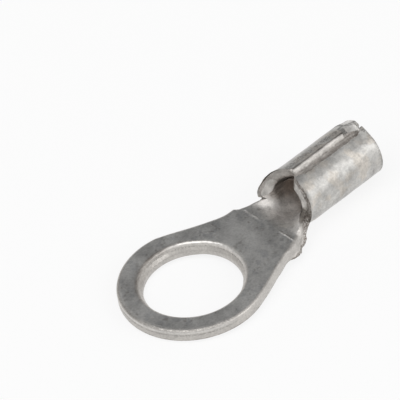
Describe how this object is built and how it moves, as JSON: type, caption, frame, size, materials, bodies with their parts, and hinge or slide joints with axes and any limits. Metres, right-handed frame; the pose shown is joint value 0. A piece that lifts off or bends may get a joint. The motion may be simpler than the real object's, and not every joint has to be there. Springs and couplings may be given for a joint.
{
  "type": "uninsulated ring terminal",
  "caption": "Flat ring tongue with a round stud hole, rolled through a short open throat into a wire barrel with a butted seam along its top.",
  "frame": {"origin": "centre of the stud hole on the underside of the tongue", "axes": "+X from the stud hole to the mouth of the wire barrel, +Z along the stud hole, up from the underside to the side where the barrel's seam lies"},
  "size_m": [0.017, 0.0082, 0.0033],
  "materials": {
    "tinned_copper": "dull satin tin plating, mottled grey on the tongue and brighter on the barrel"
  },
  "bodies": {
    "root": {"ring_terminal": "tinned_copper"}
  },
  "joints": []
}
